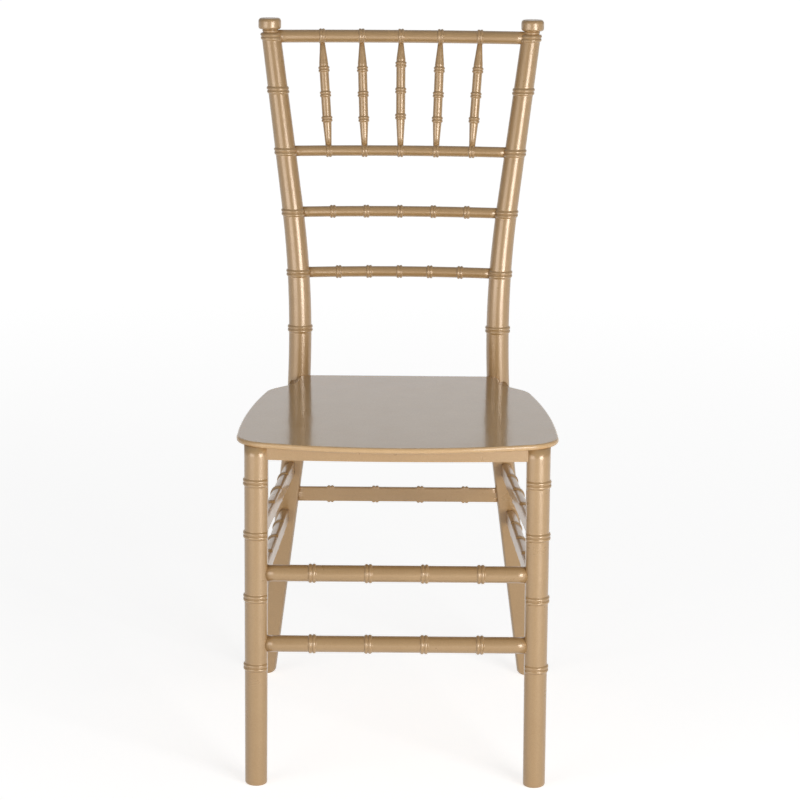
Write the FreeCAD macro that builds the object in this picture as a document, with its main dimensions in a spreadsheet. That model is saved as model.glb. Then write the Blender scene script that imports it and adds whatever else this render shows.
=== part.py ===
import FreeCAD
import Part
import Sketcher
import os

# Chiavari chair, in millimetres. It stands on z = 0 and faces -Y, and its origin is the
# middle of its box on the floor. Left is the sitter's left, +X. Each piece of a pair is
# made on the left, and the right one is its mirror image.

doc = FreeCAD.newDocument("ChiavariChair")
dim = doc.addObject("Spreadsheet::Sheet", "dim")

SIZES = {
    # the whole chair
    "overall_height": 922,
    "overall_depth": 489.6,
    # seat plate
    "seat_height": 443,
    "seat_thickness": 7,
    "seat_front_bow": 35,
    "seat_side_bow": 8.8,
    "corner_past_legs": 26.2,
    "seat_corner_radius": 46,
    "shoulder_step": 34.7,
    "shoulder_setback": 93,
    "shoulder_radius": 50,
    "tongue_flare": 3.8,
    "tongue_length": 53,
    "tongue_radius": 50,
    "tongue_inside_posts": 1.6,
    "tongue_ahead_of_posts": 8.3,
    "tongue_corner_radius": 6,
    "rim_radius": 3,
    # back posts, each one bent piece from floor to finial
    "waist_above_seat": 62,
    "waist_half_width": 134.2,
    "bend_plane_angle": 43.3,
    "back_bend_radius": 960,
    "leg_bend_radius": 1150,
    "post_rake": 10.1,
    "post_splay": 9.58,
    "post_radius": 15,
    "post_foot_radius": 12.6,
    "post_foot_rounding": 7.5,
    "post_top_radius": 12.6,
    "post_flat": 8.5,
    "post_flat_below_seat": 31,
    # finial
    "neck_below_top": 21,
    "neck_radius": 10.4,
    "neck_length": 6.2,
    "knob_radius": 15.3,
    "knob_top_radius": 11.5,
    "knob_rounding": 3.2,
    # front legs
    "leg_half_width_top": 171.8,
    "leg_half_width_foot": 174.3,
    "leg_setback_top": 41.7,
    "leg_setback_foot": 37.7,
    "leg_top_radius": 15.6,
    "leg_foot_radius": 13.9,
    "leg_foot_rounding": 3.5,
    "leg_flat": 12.8,
    "leg_flat_turn": 8,
    # back rails, all bowed backwards
    "back_bow": 12.5,
    "crest_below_top": 24.3,
    "crest_radius": 8.65,
    "spindle_rail_below_crest": 152.1,
    "middle_rail_step": 81.2,
    "lower_rail_step": 81.4,
    "rail_radius": 7.2,
    "crest_pitch": 53.2,
    "spindle_rail_pitch": 48.2,
    "middle_rail_pitch": 45.3,
    "lower_rail_pitch": 41.2,
    # spindles
    "spindle_radius": 6.2,
    "spindle_crest_radius": 3.1,
    "spindle_foot_radius": 4.1,
    "centre_ring_rise": 45.4,
    "centre_ring_step": 34.7,
    "outer_ring_rise": 41.9,
    "outer_ring_step": 33.2,
    # stretchers, measured down from the top of the seat
    "front_upper_drop": 169,
    "front_lower_drop": 260,
    "front_stretcher_radius": 10.3,
    "front_ring_pitch": 69.5,
    "side_upper_rear_drop": 134,
    "side_upper_front_drop": 127,
    "side_lower_rear_drop": 203,
    "side_lower_front_drop": 192,
    "side_stretcher_radius": 9.2,
    "side_stretcher_flat": 4.5,
    "rear_stretcher_drop": 173,
    "rear_stretcher_radius": 9.8,
    "rear_stretcher_flat": 3.5,
    "rear_ring_pitch": 62,
    # seat rails under the plate
    "apron_height": 16,
    "apron_thickness": 18,
    "front_apron_bow": 7,
    "rear_apron_inset": 7,
    # double beads turned on the members
    "bead_radius": 2.5,
    "bead_proud": 1.8,
    "bead_pitch": 4.9,
    "ring_below_crest": 70.7,
    "ring_above_waist": 2,
    "leg_ring_lowest_drop": 288.5,
    "leg_ring_lower_drop": 199.6,
    "leg_ring_upper_drop": 119,
    "leg_ring_highest_drop": 52.4,
    # tenons and the sockets that take them
    "stretcher_tenon_radius": 6,
    "flatted_tenon_radius": 5,
    "rail_tenon_radius": 4.5,
    "tenon_depth": 9,
    "spindle_tenon_radius": 2.2,
    "spindle_tenon_depth": 4,
    "tenon_root": 6,
    "apron_tenon_thickness": 6,
    "apron_tenon_height": 10,
    "apron_tenon_depth": 6,
    "fit": 0.15,
    # seat screws, driven from below
    "screw_radius": 2,
    "screw_head_radius": 3.8,
    "screw_head_height": 2.6,
    "screw_slot_width": 1,
    "screw_recess": 6,
    "screw_bite": 4.5,
    "front_screw_spacing": 90,
    "side_screw_share": 0.3,
}

for row, (alias, size) in enumerate(SIZES.items(), start=1):
    dim.set(f"A{row}", alias)
    dim.set(f"B{row}", str(size))
    dim.setAlias(f"B{row}", alias)
doc.recompute()

# Worked-out numbers are kept under names in a set of variables
at = doc.addObject("App::VarSet", "at")


def keep(name, expression):
    """Work a number out of the sheet and keep it under a name."""
    at.addProperty("App::PropertyFloat", name)
    at.setExpression(name, expression)
    at.recompute()
    return f"at.{name}"


def worked_out(expression):
    """The number that an expression gives now, for a sketch's first guess."""
    result = dim.evalExpression(str(expression))
    return float(getattr(result, "Value", result))


# Places

def turn(axis, angle):
    """A rotation about X, Y or Z by an angle in degrees."""
    vector = {"X": "vector(1; 0; 0)", "Y": "vector(0; 1; 0)", "Z": "vector(0; 0; 1)"}[axis]
    return f"rotation({vector}; {angle})"


def frame(x, y, z, *turns):
    """A point of the chair, and turns from the outermost to the innermost."""
    turned_by = " * ".join(turns) if turns else turn("Z", 0)
    return f"placement(vector({x}; {y}; {z}); {turned_by})"


def inside(place, x=0, y=0, z=0, turned_by=None):
    """A frame given within another one."""
    return f"{place} * {frame(x, y, z, *([turned_by] if turned_by else []))}"


def span(name, start, end):
    """The frame at the start of a straight member, whose Z points at its end. For a level
    member its X points down. Its length is kept too."""
    dx, dy, dz = (f"(({b}) - ({a}))" for a, b in zip(start, end))
    length = keep(f"{name}_length", f"sqrt({dx}^2 + {dy}^2 + {dz}^2)")
    heading = keep(f"{name}_heading", f"atan2({dy}; {dx}) / 1 deg")
    tilt = keep(f"{name}_tilt", f"acos({dz} / {length}) / 1 deg")
    return frame(*start, turn("Z", heading), turn("Y", tilt)), length


# Solids

def solid(kind, name, place, **sizes):
    """One Part primitive, tied to the sheet."""
    primitive = doc.addObject(f"Part::{kind}", name)
    for size, expression in dict(sizes, Placement=place).items():
        primitive.setExpression(size, str(expression))
    return primitive


def box(name, place, length, width, height):
    """A box that stands centred on its frame and goes up its Z."""
    corner = inside(place, x=f"-({length}) / 2", y=f"-({width}) / 2")
    return solid("Box", name, corner, Length=length, Width=width, Height=height)


def fuse(name, shapes):
    fused = doc.addObject("Part::MultiFuse", name)
    fused.Shapes = shapes
    return fused


def cut(name, base, tools):
    """The base with every tool taken out."""
    cutting = doc.addObject("Part::Cut", name)
    cutting.Base = base
    cutting.Tool = tools[0] if len(tools) == 1 else fuse(f"{name}_tools", tools)
    return cutting


def common(name, base, tool):
    kept = doc.addObject("Part::Common", name)
    kept.Base = base
    kept.Tool = tool
    return kept


def mirrored(name, source):
    """The same thing on the other side of the chair."""
    mirror = doc.addObject("Part::Mirroring", name)
    mirror.Source = source
    mirror.Base = FreeCAD.Vector(0, 0, 0)
    mirror.Normal = FreeCAD.Vector(1, 0, 0)
    return mirror


def sketch_on(body, name, role):
    """A sketch on one of the body's own origin planes."""
    sketch = body.newObject("Sketcher::SketchObject", name)
    plane = next(f for f in body.Origin.OriginFeatures if f.Role == role)
    sketch.AttachmentSupport = (plane, [""])
    sketch.MapMode = "FlatFace"
    return sketch


def lock_point(sketch, geometry, end, x, y):
    """Hold a point of the sketch at two expressions."""
    for kind, expression in (("DistanceX", x), ("DistanceY", y)):
        number = sketch.addConstraint(
            Sketcher.Constraint(kind, geometry, end, worked_out(expression)))
        sketch.setExpression(f"Constraints[{number}]", str(expression))


def outline(sketch, path):
    """A closed outline through corners (x, y). A corner (x, y, via_x, via_y) starts an
    arc that passes through the via point on its way to the next corner."""
    points = [FreeCAD.Vector(worked_out(c[0]), worked_out(c[1]), 0) for c in path]
    edges = []
    for i, corner in enumerate(path):
        start = points[i]
        finish = points[(i + 1) % len(path)]
        if len(corner) == 4:
            via = FreeCAD.Vector(worked_out(corner[2]), worked_out(corner[3]), 0)
            edge = sketch.addGeometry(Part.Arc(start, via, finish), False)
        else:
            edge = sketch.addGeometry(Part.LineSegment(start, finish), False)
        starts_at = 1 if (sketch.getPoint(edge, 1) - start).Length < 1e-6 else 2
        edges.append((edge, starts_at))
    for i, (edge, starts_at) in enumerate(edges):
        next_edge, next_start = edges[(i + 1) % len(edges)]
        sketch.addConstraint(Sketcher.Constraint(
            "Coincident", edge, 3 - starts_at, next_edge, next_start))
        lock_point(sketch, edge, starts_at, path[i][0], path[i][1])
        if len(path[i]) == 4:
            via = FreeCAD.Vector(worked_out(path[i][2]), worked_out(path[i][3]), 0)
            mark = sketch.addGeometry(Part.Point(via), True)
            sketch.addConstraint(Sketcher.Constraint("PointOnObject", mark, 1, edge))
            lock_point(sketch, mark, 1, path[i][2], path[i][3])


def revolve(body, sketch, name):
    turned_form = body.newObject("PartDesign::Revolution", name)
    turned_form.Profile = sketch
    turned_form.ReferenceAxis = (sketch, ["V_Axis"])
    turned_form.Angle = 360
    sketch.Visibility = False


def turned(name, place, profile, rings=()):
    """A turned member about its own Z. The profile is (radius, height) corners, and each
    ring, a (radius, height) on the surface, is a pair of beads."""
    body = doc.addObject("PartDesign::Body", name)
    shape = sketch_on(body, f"{name}_profile", "XZ_Plane")
    outline(shape, profile)
    revolve(body, shape, f"{name}_turned")
    if rings:
        beads = sketch_on(body, f"{name}_bead_rings", "XZ_Plane")
        size = worked_out("dim.bead_radius")
        for radius, height in rings:
            for side in ("-", "+"):
                x = f"({radius}) + dim.bead_proud - dim.bead_radius"
                z = f"({height}) {side} dim.bead_pitch / 2"
                middle = FreeCAD.Vector(worked_out(x), worked_out(z), 0)
                circle = beads.addGeometry(
                    Part.Circle(middle, FreeCAD.Vector(0, 0, 1), size), False)
                lock_point(beads, circle, 3, x, z)
                number = beads.addConstraint(Sketcher.Constraint("Radius", circle, size))
                beads.setExpression(f"Constraints[{number}]", "dim.bead_radius")
        revolve(body, beads, f"{name}_beads")
    body.setExpression("Placement", place)
    return body


def straight_profile(radius, length):
    """Profile of a plain round bar."""
    return [("0", "0"), (radius, "0"), (radius, length), ("0", length)]


def double_bead(name, place, radius):
    """Two beads round a bent member, whose direction there is the frame's Z."""
    return [
        solid("Torus", f"{name}_{half}", inside(place, z=f"{side}dim.bead_pitch / 2"),
              Radius1=f"({radius}) + dim.bead_proud - dim.bead_radius",
              Radius2="dim.bead_radius")
        for half, side in (("first", "-"), ("second", ""))
    ]


def tenon(name, place, radius, start, length):
    """A round peg along the frame's Z, and the socket that takes it."""
    peg = solid("Cylinder", f"{name}_peg", inside(place, z=start),
                Radius=radius, Height=length)
    socket = solid("Cylinder", f"{name}_socket", inside(place, z=f"({start}) - dim.fit"),
                   Radius=f"{radius} + dim.fit", Height=f"({length}) + 2 * dim.fit")
    return peg, socket


def flat_tenon(name, place, start, length):
    """An apron's flat peg along the frame's Z, and the mortise that takes it."""
    peg = box(f"{name}_peg", inside(place, z=start),
              "dim.apron_tenon_height", "dim.apron_tenon_thickness", length)
    mortise = box(f"{name}_mortise", inside(place, z=f"({start}) - dim.fit"),
                  "dim.apron_tenon_height + 2 * dim.fit",
                  "dim.apron_tenon_thickness + 2 * dim.fit", f"({length}) + 2 * dim.fit")
    return peg, mortise


# Heights and lines that several pieces share

for place, height in {
    "neck_height": "dim.overall_height - dim.neck_below_top",
    "crest_height": "dim.overall_height - dim.crest_below_top",
    "spindle_rail_height": "at.crest_height - dim.spindle_rail_below_crest",
    "middle_rail_height": "at.spindle_rail_height - dim.middle_rail_step",
    "lower_rail_height": "at.middle_rail_height - dim.lower_rail_step",
    "ring_upper_height": "at.crest_height - dim.ring_below_crest",
    "waist_height": "dim.seat_height + dim.waist_above_seat",
    "ring_lower_height": "at.waist_height + dim.ring_above_waist",
    "seat_underside": "dim.seat_height - dim.seat_thickness",
    "apron_underside": "at.seat_underside - dim.apron_height",
    "apron_middle": "at.seat_underside - dim.apron_height / 2",
}.items():
    keep(place, height)

for member in ("front_upper", "front_lower", "side_upper_rear", "side_upper_front",
               "side_lower_rear", "side_lower_front", "rear_stretcher", "leg_ring_lowest",
               "leg_ring_lower", "leg_ring_upper", "leg_ring_highest"):
    keep(f"{member}_height", f"dim.seat_height - dim.{member}_drop")

SEAT_UNDERSIDE = "at.seat_underside"
APRON_UNDERSIDE = "at.apron_underside"
APRON_MIDDLE = "at.apron_middle"
SEAT_FRONT = keep("seat_front", "-dim.overall_depth / 2")
PEG_LENGTH = "dim.tenon_root + dim.tenon_depth"
FLAT_PEG_LENGTH = "dim.tenon_root + dim.apron_tenon_depth"


class PostPoint:
    """A point of the left post's axis. The post leans out and back above its waist and
    below it, in one upright plane, and a round bend joins the two straight stretches."""

    def __init__(self, name, height):
        above = f"(({height}) > at.waist_height)"
        rise = keep(f"{name}_rise", f"abs(({height}) - at.waist_height)")
        lean = keep(f"{name}_full_lean", f"{above} ? dim.post_rake : dim.post_splay")
        curve = keep(f"{name}_curve", f"{above} ? dim.back_bend_radius : dim.leg_bend_radius")
        bend = keep(f"{name}_bend_rise", f"{curve} * sin({lean})")
        out = keep(f"{name}_out", f"{rise} < {bend} ? {curve} - sqrt({curve}^2 - {rise}^2) :"
                   f" {curve} * (1 - cos({lean})) + ({rise} - {bend}) * tan({lean})")
        tilt = keep(f"{name}_tilt_size", f"{rise} < {bend} ?"
                    f" asin({rise} / {curve}) / 1 deg : {lean}")
        self.z = height
        self.x = keep(f"{name}_x", f"dim.waist_half_width + {out} * cos(dim.bend_plane_angle)")
        self.out_y = f"{out} * sin(dim.bend_plane_angle)"
        self.y = keep(f"{name}_y", f"{WAIST_Y} + {self.out_y}")
        self.lean = keep(f"{name}_lean", f"{above} ? {tilt} : -{tilt}")
        share = f"({rise} / (at.neck_height - at.waist_height))"
        self.radius = keep(f"{name}_radius", f"{above} ? dim.post_radius"
                           f" + (dim.post_top_radius - dim.post_radius) * {share}"
                           f" : dim.post_radius")

    def spot(self):
        return self.x, self.y, self.z

    def frame(self):
        """The point's frame, whose Z runs up the post."""
        return frame(*self.spot(), turn("Z", "dim.bend_plane_angle"), turn("Y", self.lean))


# The rings of the crest rail are the rearmost thing, and the waist is placed from them
WAIST_Y = keep("waist_y", "0")
CREST_REACH = PostPoint("post_reach", "at.crest_height").out_y
at.setExpression("waist_y", f"dim.overall_depth / 2 - dim.crest_radius - dim.bead_proud"
                 f" - dim.back_bow - {CREST_REACH}")
at.recompute()

POST = {
    name: PostPoint(f"post_{name}", height)
    for name, height in {
        "foot": "0",
        "side_lower": "at.side_lower_rear_height",
        "rear_stretcher": "at.rear_stretcher_height",
        "side_upper": "at.side_upper_rear_height",
        "lower_bend": "at.waist_height - dim.leg_bend_radius * sin(dim.post_splay)",
        "apron": APRON_MIDDLE,
        "waist": "at.waist_height",
        "ring_lower": "at.ring_lower_height",
        "lower_rail": "at.lower_rail_height",
        "upper_bend": "at.waist_height + dim.back_bend_radius * sin(dim.post_rake)",
        "middle_rail": "at.middle_rail_height",
        "spindle_rail": "at.spindle_rail_height",
        "ring_upper": "at.ring_upper_height",
        "crest_rail": "at.crest_height",
    }.items()
}


def leg_share(height):
    return f"(({height}) / {SEAT_UNDERSIDE})"


def leg_spot(name, height):
    """A point of the left front leg's axis."""
    x = keep(f"{name}_x", "dim.leg_half_width_foot"
             f" + (dim.leg_half_width_top - dim.leg_half_width_foot) * {leg_share(height)}")
    y = keep(f"{name}_y", f"{SEAT_FRONT} + dim.leg_setback_foot"
             f" + (dim.leg_setback_top - dim.leg_setback_foot) * {leg_share(height)}")
    return x, y, height


def leg_radius(height):
    return ("(dim.leg_foot_radius + (dim.leg_top_radius - dim.leg_foot_radius)"
            f" * {leg_share(height)})")


def opposite(spot):
    """The same point on the other side of the chair."""
    return f"-({spot[0]})", spot[1], spot[2]


# Seat plate

# Two places nearer than this are one
SAME_PLACE = 0.01

# The tongue fills the space between the posts
SEAT_REAR = keep("seat_rear", f"{POST['apron'].y} - dim.tongue_ahead_of_posts")
TONGUE_END_HALF = keep("tongue_end_half", f"{POST['apron'].x} - dim.tongue_inside_posts")


def pad(name, place, path, thickness):
    """A plate of an outline, up from its frame."""
    body = doc.addObject("PartDesign::Body", name)
    sketch = sketch_on(body, f"{name}_outline", "XY_Plane")
    outline(sketch, path)
    plate = body.newObject("PartDesign::Pad", f"{name}_plate")
    plate.Profile = sketch
    plate.setExpression("Length", thickness)
    sketch.Visibility = False
    body.setExpression("Placement", place)
    return body


def round_edges(body, radius, wanted):
    """Fillet every edge of the body's tip that is wanted."""
    doc.recompute()
    base = body.Tip
    names = [f"Edge{i}" for i, edge in enumerate(base.Shape.Edges, start=1) if wanted(edge)]
    rounding = body.newObject("PartDesign::Fillet", f"{body.Name}_rounding_{len(body.Group)}")
    rounding.Base = (base, names)
    rounding.setExpression("Radius", radius)


def upright_edge_at(x, y):
    """A test for the upright edges at a point and at its mirror image."""
    def wanted(edge):
        start, end = (vertex.Point for vertex in edge.Vertexes)
        at_point = abs(abs(start.x) - x) < SAME_PLACE and abs(start.y - y) < SAME_PLACE
        upright = abs(start.x - end.x) < SAME_PLACE and abs(start.y - end.y) < SAME_PLACE
        return at_point and upright

    return wanted


def is_level(edge):
    return edge.BoundBox.ZLength < SAME_PLACE


def make_seat():
    """The seat plate: its front and sides are bowed, and a tongue at its back runs between
    the posts. Its widths step out from the posts to the tongue and the shoulders, and from
    the legs to the front corners."""
    corner_half = keep("seat_corner_half", "dim.leg_half_width_top + dim.corner_past_legs")
    tongue_half = keep("tongue_half", f"{TONGUE_END_HALF} + dim.tongue_flare")
    shoulder_half = keep("shoulder_half", f"{tongue_half} + dim.shoulder_step")
    front_y = keep("seat_corner_y", f"{SEAT_FRONT} + dim.seat_front_bow")
    shoulder_y = keep("shoulder_y", f"{SEAT_REAR} - dim.shoulder_setback")
    tongue_y = keep("tongue_y", f"{SEAT_REAR} - dim.tongue_length")
    side_length = keep("seat_side_length",
                       f"sqrt(({corner_half} - {shoulder_half})^2 + ({shoulder_y} - {front_y})^2)")
    side_x = keep("seat_side_x", f"({corner_half} + {shoulder_half}) / 2"
                  f" + dim.seat_side_bow * ({shoulder_y} - {front_y}) / {side_length}")
    side_y = keep("seat_side_y", f"({front_y} + {shoulder_y}) / 2 + dim.seat_side_bow"
                  f" * ({corner_half} - {shoulder_half}) / {side_length}")
    seat = pad("seat_plate", frame(0, 0, SEAT_UNDERSIDE), [
        (f"-{corner_half}", front_y, "0", SEAT_FRONT),
        (corner_half, front_y, side_x, side_y),
        (shoulder_half, shoulder_y),
        (tongue_half, tongue_y),
        (TONGUE_END_HALF, SEAT_REAR),
        (f"-{TONGUE_END_HALF}", SEAT_REAR),
        (f"-{tongue_half}", tongue_y),
        (f"-{shoulder_half}", shoulder_y, f"-{side_x}", side_y),
    ], "dim.seat_thickness")
    corners = [
        ("dim.seat_corner_radius", corner_half, front_y),
        ("dim.shoulder_radius", shoulder_half, shoulder_y),
        ("dim.tongue_radius", tongue_half, tongue_y),
        ("dim.tongue_corner_radius", TONGUE_END_HALF, SEAT_REAR),
    ]
    for radius, x, y in corners:
        round_edges(seat, radius, upright_edge_at(worked_out(x), worked_out(y)))
    round_edges(seat, "dim.rim_radius", is_level)
    return seat


seat_plate = make_seat()


# Back posts

def rounded_foot(radius, rounding, foot):
    """Profile corners of a foot: its flat, then a quarter round up to the side."""
    middle = f"(1 - cos(45)) * {rounding}"
    return [
        ("0", foot),
        (f"{radius} - {rounding}", foot, f"{radius} - {middle}", f"({foot}) + {middle}"),
        (radius, f"({foot}) + {rounding}"),
    ]


def make_post_blank():
    """A whole post before its sockets are cut."""
    foot, waist, lower_bend, upper_bend = (
        POST[name] for name in ("foot", "waist", "lower_bend", "upper_bend"))
    below = keep("post_below_floor",
                 "(dim.post_foot_radius - dim.post_foot_rounding) * tan(dim.post_splay)")
    leg_length = keep("post_leg_length", f"({lower_bend.z}) / cos(dim.post_splay) + {below}")
    leg = turned("post_leg", inside(foot.frame(), z=f"-{below}"),
                 rounded_foot("dim.post_foot_radius", "dim.post_foot_rounding", "0")
                 + [("dim.post_radius", leg_length), ("0", leg_length)])

    outwards = frame(*waist.spot(), turn("Z", "dim.bend_plane_angle"))
    lower_arc = solid("Torus", "post_lower_arc",
                      inside(inside(outwards, x="dim.leg_bend_radius", turned_by=turn("Z", 180)),
                             turned_by=turn("X", -90)),
                      Radius1="dim.leg_bend_radius", Radius2="dim.post_radius",
                      Angle3="dim.post_splay")
    arc_line = solid("Circle", "post_upper_arc_line",
                     inside(inside(outwards, x="dim.back_bend_radius", turned_by=turn("Z", 180)),
                            turned_by=turn("X", 90)),
                     Radius="dim.back_bend_radius", Angle1="0", Angle2="dim.post_rake")
    upper_arc = doc.addObject("Part::Sweep", "post_upper_arc")
    upper_arc.Sections = [
        solid("Circle", f"post_section_{number}", point.frame(), Radius=point.radius)
        for number, point in enumerate((waist, upper_bend))
    ]
    upper_arc.Spine = (arc_line, ["Edge1"])
    upper_arc.Solid = True

    neck = keep("neck_start", f"(at.neck_height - ({upper_bend.z})) / cos(dim.post_rake)")
    knob = keep("knob_start", f"{neck} + dim.neck_length")
    top = keep("knob_end", "(dim.overall_height - dim.knob_top_radius * sin(dim.post_rake)"
               f" - ({upper_bend.z})) / cos(dim.post_rake)")
    curve = "(1 - cos(45)) * dim.knob_rounding"
    stem = turned("post_stem", upper_bend.frame(), [
        ("0", "0"),
        (upper_bend.radius, "0"),
        ("dim.post_top_radius", neck),
        ("dim.neck_radius", neck),
        ("dim.neck_radius", knob),
        ("dim.knob_radius - dim.knob_rounding", knob,
         f"dim.knob_radius - {curve}", f"{knob} + {curve}"),
        ("dim.knob_radius", f"{knob} + dim.knob_rounding"),
        ("dim.knob_radius", f"{top} - 1.5 * dim.knob_rounding"),
        ("dim.knob_top_radius", top),
        ("0", top),
    ])

    rings = []
    for name in ("ring_lower", "lower_rail", "middle_rail", "spindle_rail", "ring_upper",
                 "crest_rail"):
        rings += double_bead(f"post_{name}_bead", POST[name].frame(), POST[name].radius)
    whole = fuse("post_whole", [leg, lower_arc, upper_arc, stem] + rings)

    room = keep("post_room", "4 * dim.post_radius")
    floor = box("post_floor", frame(foot.x, foot.y, f"-{room}"), room, room, room)
    flat_top = keep("post_flat_rise", f"dim.seat_height - dim.post_flat_below_seat - ({lower_bend.z})")
    flat = box("post_front_flat", inside(
        frame(*lower_bend.spot(), turn("Z", "dim.bend_plane_angle"), turn("Y", lower_bend.lean),
              turn("Z", "-dim.bend_plane_angle")),
        y=f"-dim.post_flat - {room} / 2", z=f"-{leg_length}"),
        room, room, f"{leg_length} + {flat_top}")
    return cut("post_blank", whole, [floor, flat])


# Front legs

def make_leg_blank():
    """A whole front leg before its sockets are cut."""
    foot = leg_spot("leg_foot", "0")
    place, length = span("leg", foot, leg_spot("leg_top", SEAT_UNDERSIDE))
    heights = [f"at.leg_ring_{which}_height" for which in ("lowest", "lower", "upper", "highest")]
    # the bar runs a little past both ends, which are then cut level
    past = keep("leg_past_ends", "dim.leg_foot_rounding / 8")
    bar = turned("leg_bar", place,
                 rounded_foot("dim.leg_foot_radius", "dim.leg_foot_rounding", f"-{past}")
                 + [("dim.leg_top_radius", f"{length} + {past}"), ("0", f"{length} + {past}")],
                 rings=[(leg_radius(height), height) for height in heights])
    room = keep("leg_room", "6 * dim.leg_top_radius")
    level = common("leg_level", bar,
                   box("leg_slab", frame(foot[0], foot[1], 0), room, room, SEAT_UNDERSIDE))
    flat = box("leg_inner_flat", inside(
        frame(foot[0], foot[1], 0, turn("Z", "dim.leg_flat_turn")),
        x=f"-dim.leg_flat - {room} / 2"), room, room, "at.leg_ring_upper_height")
    return cut("leg_blank", level, [flat])


post_blank = make_post_blank()
leg_blank = make_leg_blank()
post_blanks = [post_blank, mirrored("post_blank_right", post_blank)]
leg_blanks = [leg_blank, mirrored("leg_blank_right", leg_blank)]
post_sockets = []
leg_sockets = []
pieces = {}


def joined(name, bar, mates, pegs, holes=()):
    """A member whose ends are coped round its mates and carry pegs into them."""
    coped = cut(f"{name}_coped", bar, mates)
    pegged = fuse(f"{name}_pegged", [coped] + pegs)
    pieces[name] = cut(f"{name}_bored", pegged, list(holes)) if holes else pegged


# Back rails

def rail_arc(name, point):
    """The arc that a rail follows between the two posts: its radius, the place of its
    centre along Y, and half its angle."""
    radius = keep(f"{name}_arc_radius", f"({point.x}^2 + dim.back_bow^2) / (2 * dim.back_bow)")
    centre = keep(f"{name}_arc_centre", f"{point.y} + dim.back_bow - {radius}")
    half = keep(f"{name}_half_angle", f"asin({point.x} / {radius}) / 1 deg")
    return radius, centre, half


def make_rail_blank(name, bar_radius, pitch):
    """A bowed rail with its five rings, before its ends are coped."""
    point = POST[name]
    radius, centre, half = rail_arc(name, point)
    bar = solid("Torus", f"{name}_bar", frame(0, centre, point.z, turn("Z", f"90 - {half}")),
                Radius1=radius, Radius2=bar_radius, Angle3=f"2 * {half}")
    rings = []
    for number in range(-2, 3):
        x = f"{number} * {pitch}"
        place = frame(x, f"{centre} + sqrt({radius}^2 - ({x})^2)", point.z,
                      turn("Z", f"-asin({x} / {radius})"), turn("Y", 90))
        rings += double_bead(f"{name}_ring_{number + 3}", place, bar_radius)
    end = frame(*point.spot(), turn("Z", f"-{half}"), turn("Y", 90))
    peg, socket = tenon(f"{name}_tenon", end, "dim.rail_tenon_radius",
                        f"-{point.radius} - dim.tenon_root", PEG_LENGTH)
    post_sockets.append(socket)
    return fuse(f"{name}_blank", [bar] + rings), [peg, mirrored(f"{name}_peg_right", peg)]


RAILS = {
    "crest_rail": ("dim.crest_radius", "dim.crest_pitch"),
    "spindle_rail": ("dim.rail_radius", "dim.spindle_rail_pitch"),
    "middle_rail": ("dim.rail_radius", "dim.middle_rail_pitch"),
    "lower_rail": ("dim.rail_radius", "dim.lower_rail_pitch"),
}
rail_blanks = {name: make_rail_blank(name, *sizes) for name, sizes in RAILS.items()}


# Spindles

def on_rail(name, x):
    """The point of a rail's axis at an x."""
    radius, centre = f"at.{name}_arc_radius", f"at.{name}_arc_centre"
    return x, f"({centre} + sqrt({radius}^2 - ({x})^2))", POST[name].z


def make_spindle(number, ring_rise, ring_step):
    """A spindle between two rings of its rails, counted from the right. It gives back its
    sockets in the lower and upper rail."""
    name = f"spindle_{number + 3}"
    place, length = span(name, on_rail("spindle_rail", f"{number} * dim.spindle_rail_pitch"),
                         on_rail("crest_rail", f"{number} * dim.crest_pitch"))
    stretch = keep(f"{name}_stretch",
                   f"{length} / (at.crest_height - at.spindle_rail_height)")
    rings = [f"({ring_rise} + {step} * {ring_step}) * {stretch}"
             for step in range(3)]
    bar = turned(f"{name}_bar", place, [
        ("0", "0"),
        ("dim.spindle_foot_radius", "0"),
        ("dim.spindle_foot_radius", "dim.rail_radius"),
        ("dim.spindle_radius", rings[0]),
        ("dim.spindle_radius", rings[2]),
        ("dim.spindle_crest_radius", f"{length} - dim.crest_radius"),
        ("dim.spindle_crest_radius", length),
        ("0", length),
    ], rings=[("dim.spindle_radius", height) for height in rings])
    pegs_and_sockets = []
    root = "(dim.bead_proud + dim.tenon_root / 2)"
    peg_length = f"{root} + dim.spindle_tenon_depth"
    starts = {
        "foot": "dim.rail_radius - dim.spindle_tenon_depth",
        "head": f"{length} - dim.crest_radius - {root}",
    }
    for end, start in starts.items():
        pegs_and_sockets.append(tenon(f"{name}_{end}", place, "dim.spindle_tenon_radius",
                                      start, peg_length))
    pegs, sockets = zip(*pegs_and_sockets)
    joined(name, bar, [rail_blanks["spindle_rail"][0], rail_blanks["crest_rail"][0]], list(pegs))
    return sockets


spindle_sockets = []
for number in range(-2, 3):
    where = "centre" if number == 0 else "outer"
    spindle_sockets.append(
        make_spindle(number, f"dim.{where}_ring_rise", f"dim.{where}_ring_step"))
feet, heads = zip(*spindle_sockets)

for name, holes in (("crest_rail", heads), ("spindle_rail", feet),
                    ("middle_rail", ()), ("lower_rail", ())):
    blank, pegs = rail_blanks[name]
    joined(name, blank, post_blanks, pegs, holes)


# Stretchers

def make_front_stretcher(name, height):
    """A round bar between the front legs, with four rings."""
    spot = leg_spot(name, height)
    place, length = span(name, opposite(spot), spot)
    rings = [("dim.front_stretcher_radius", f"{length} / 2 + {step} * dim.front_ring_pitch")
             for step in (-1.5, -0.5, 0.5, 1.5)]
    bar = turned(f"{name}_bar", place,
                 straight_profile("dim.front_stretcher_radius", length), rings)
    peg, socket = tenon(f"{name}_tenon", place, "dim.stretcher_tenon_radius",
                        f"{length} - dim.leg_flat - dim.tenon_root", PEG_LENGTH)
    leg_sockets.append(socket)
    joined(name, bar, leg_blanks, [peg, mirrored(f"{name}_peg_right", peg)])


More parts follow.
